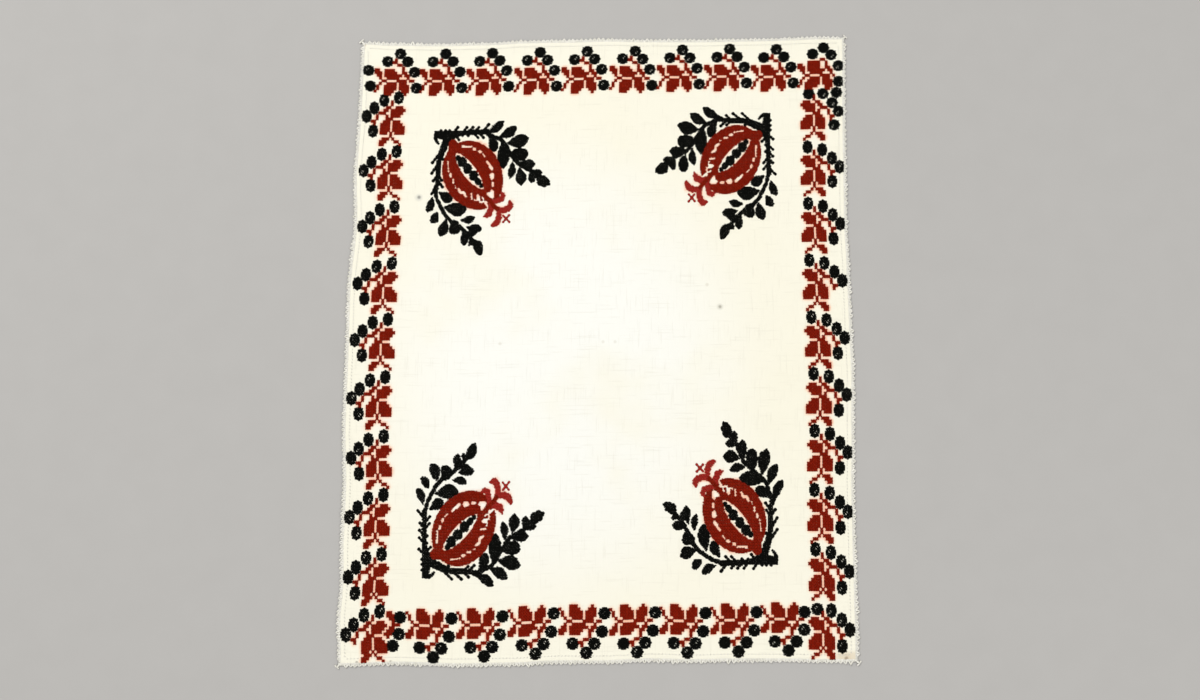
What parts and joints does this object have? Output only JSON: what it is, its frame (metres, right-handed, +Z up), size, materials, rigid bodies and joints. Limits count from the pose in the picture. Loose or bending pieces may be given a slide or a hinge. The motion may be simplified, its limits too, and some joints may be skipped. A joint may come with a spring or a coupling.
{
  "type": "embroidered handkerchief",
  "caption": "Rectangular hand-woven linen kerchief laid flat, cross-stitched in red and black with a grapevine border and corner pomegranates, and a fine picot edging.",
  "frame": {"origin": "middle of the underside's box, on the surface that the cloth lies on", "axes": "+Z up out of the embroidered side, +Y along the longer sides towards the top edge, +X to the right"},
  "size_m": [0.4006, 0.5012, 0.0016],
  "materials": {
    "linen": "matt hand-woven linen, cream",
    "edging_thread": "off-white crochet cotton",
    "red_thread": "brick red stranded cotton, soft sheen",
    "black_thread": "near-black stranded cotton, soft sheen"
  },
  "bodies": {
    "root": {"linen_ground": "linen", "picot_edging_top": "edging_thread", "picot_edging_left": "edging_thread", "picot_edging_bottom": "edging_thread", "picot_edging_right": "edging_thread"}
  },
  "joints": []
}
